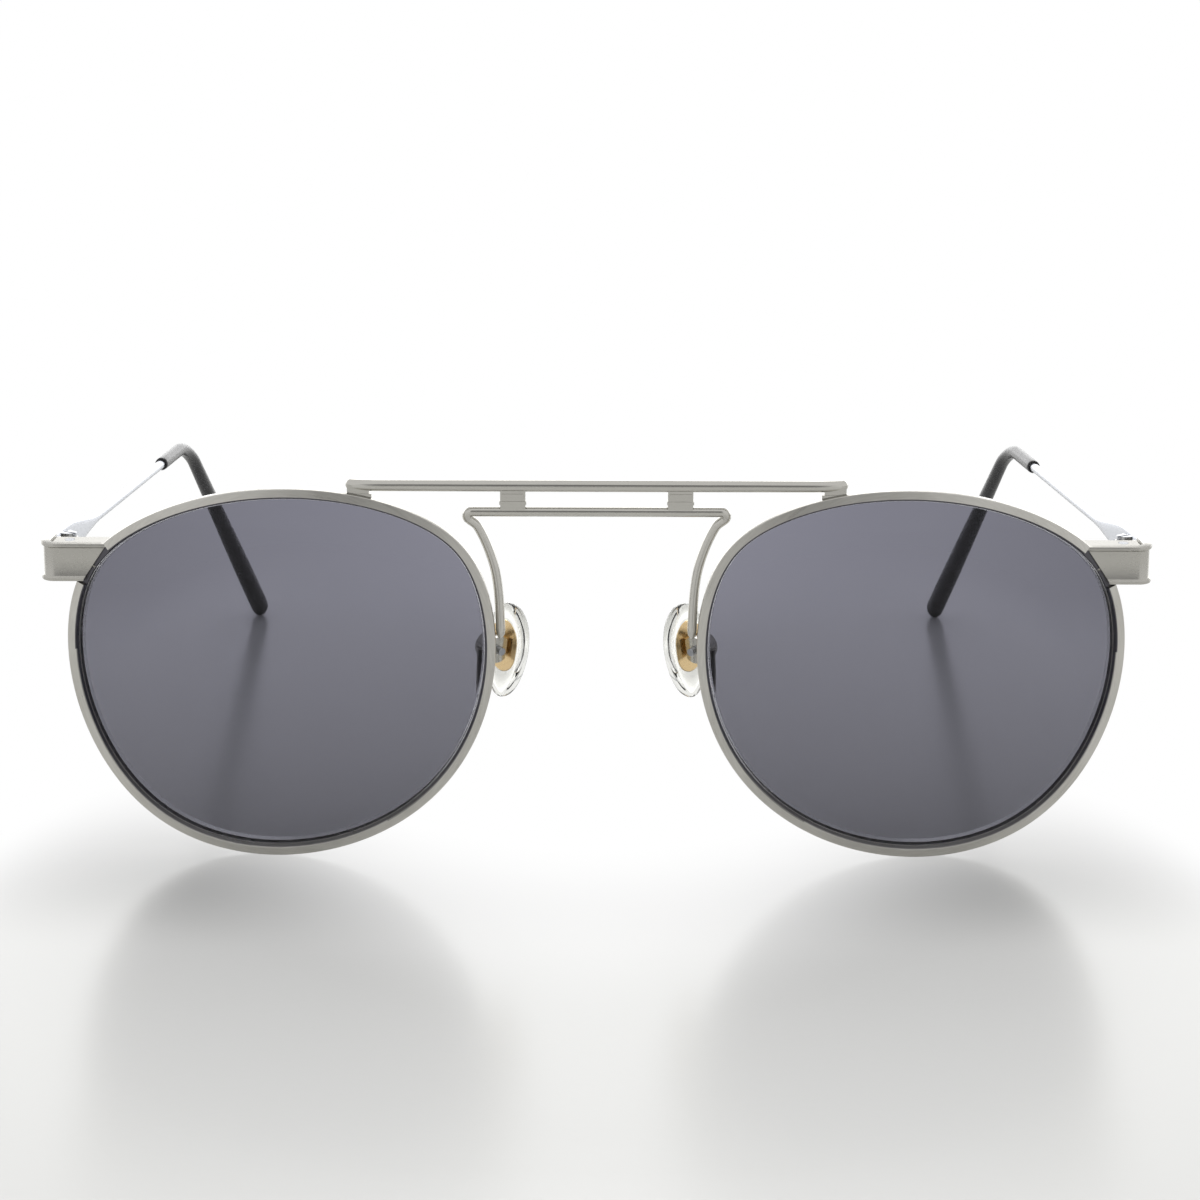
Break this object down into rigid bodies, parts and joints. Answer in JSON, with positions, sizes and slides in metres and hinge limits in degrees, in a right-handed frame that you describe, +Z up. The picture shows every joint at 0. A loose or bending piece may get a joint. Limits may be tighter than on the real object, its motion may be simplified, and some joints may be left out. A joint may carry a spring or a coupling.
{
  "type": "round metal sunglasses",
  "caption": "Round metal sunglasses with a straight brow bar over a lower bar, tinted lenses, clear nose pads and folding wire temples with dark tips.",
  "frame": {"origin": "the middle of the box round the open glasses, on the surface they stand on with their rims and temple tips", "axes": "+X towards the wearer's left hand, which is the right of the picture, +Y back towards the wearer along the temples, +Z up"},
  "size_m": [0.134, 0.1365, 0.0478],
  "materials": {
    "frame_metal": "brushed warm silver metal",
    "temple_metal": "bright satin silver metal",
    "screw_metal": "bright turned metal",
    "lens": "violet grey tinted, clear and glossy",
    "tip_plastic": "smooth black plastic",
    "pad_plastic": "clear moulded plastic",
    "pad_insert": "gold coloured stamped metal"
  },
  "bodies": {
    "front": {"eyewire_left": "frame_metal", "eyewire_right": "frame_metal", "lens_left": "lens", "lens_right": "lens", "brow_bar": "frame_metal", "brow_foot_left": "frame_metal", "brow_foot_right": "frame_metal", "bridge_wire": "frame_metal", "bridge_post_left": "frame_metal", "bridge_post_right": "frame_metal", "endpiece_left": "frame_metal", "endpiece_right": "frame_metal", "rim_lock_upper_left": "frame_metal", "rim_lock_upper_right": "frame_metal", "rim_lock_lower_left": "frame_metal", "rim_lock_lower_right": "frame_metal", "lock_screw_left": "screw_metal", "lock_screw_right": "screw_metal", "hinge_leaf_front_left": "frame_metal", "hinge_leaf_front_right": "frame_metal", "hinge_screw_left": "screw_metal", "hinge_screw_right": "screw_metal", "pad_arm_left": "frame_metal", "pad_arm_right": "frame_metal", "pad_box_left": "screw_metal", "pad_box_right": "screw_metal", "pad_screw_left": "screw_metal", "pad_screw_right": "screw_metal"},
    "temple_arm_left": {"hinge_leaf_temple_left": "frame_metal", "temple_left": "temple_metal", "temple_tip_left": "tip_plastic"},
    "temple_arm_right": {"hinge_leaf_temple_right": "frame_metal", "temple_right": "temple_metal", "temple_tip_right": "tip_plastic"},
    "pad_left": {"nose_pad_left": "pad_plastic", "pad_insert_left": "pad_insert"},
    "pad_right": {"nose_pad_right": "pad_plastic", "pad_insert_right": "pad_insert"}
  },
  "joints": [
    {"name": "fold_left", "type": "hinge", "parent": "front", "child": "temple_arm_left", "pos_m": [-0.06445, -0.05789, 0.0369], "axis": [0, -0.0209, -0.9998], "range_deg": [0, 85]},
    {"name": "fold_right", "type": "hinge", "parent": "front", "child": "temple_arm_right", "pos_m": [0.06445, -0.05789, 0.0369], "axis": [0, 0.0209, 0.9998], "range_deg": [0, 80]},
    {"name": "pad_tilt_left", "type": "hinge", "parent": "front", "child": "pad_left", "pos_m": [-0.0127, -0.06097, 0.02592], "axis": [-0.6097, 0.7775, 0.154], "range_deg": [-7, 7]},
    {"name": "pad_tilt_right", "type": "hinge", "parent": "front", "child": "pad_right", "pos_m": [0.0127, -0.06097, 0.02592], "axis": [0.6097, 0.7775, 0.154], "range_deg": [-7, 7]}
  ]
}
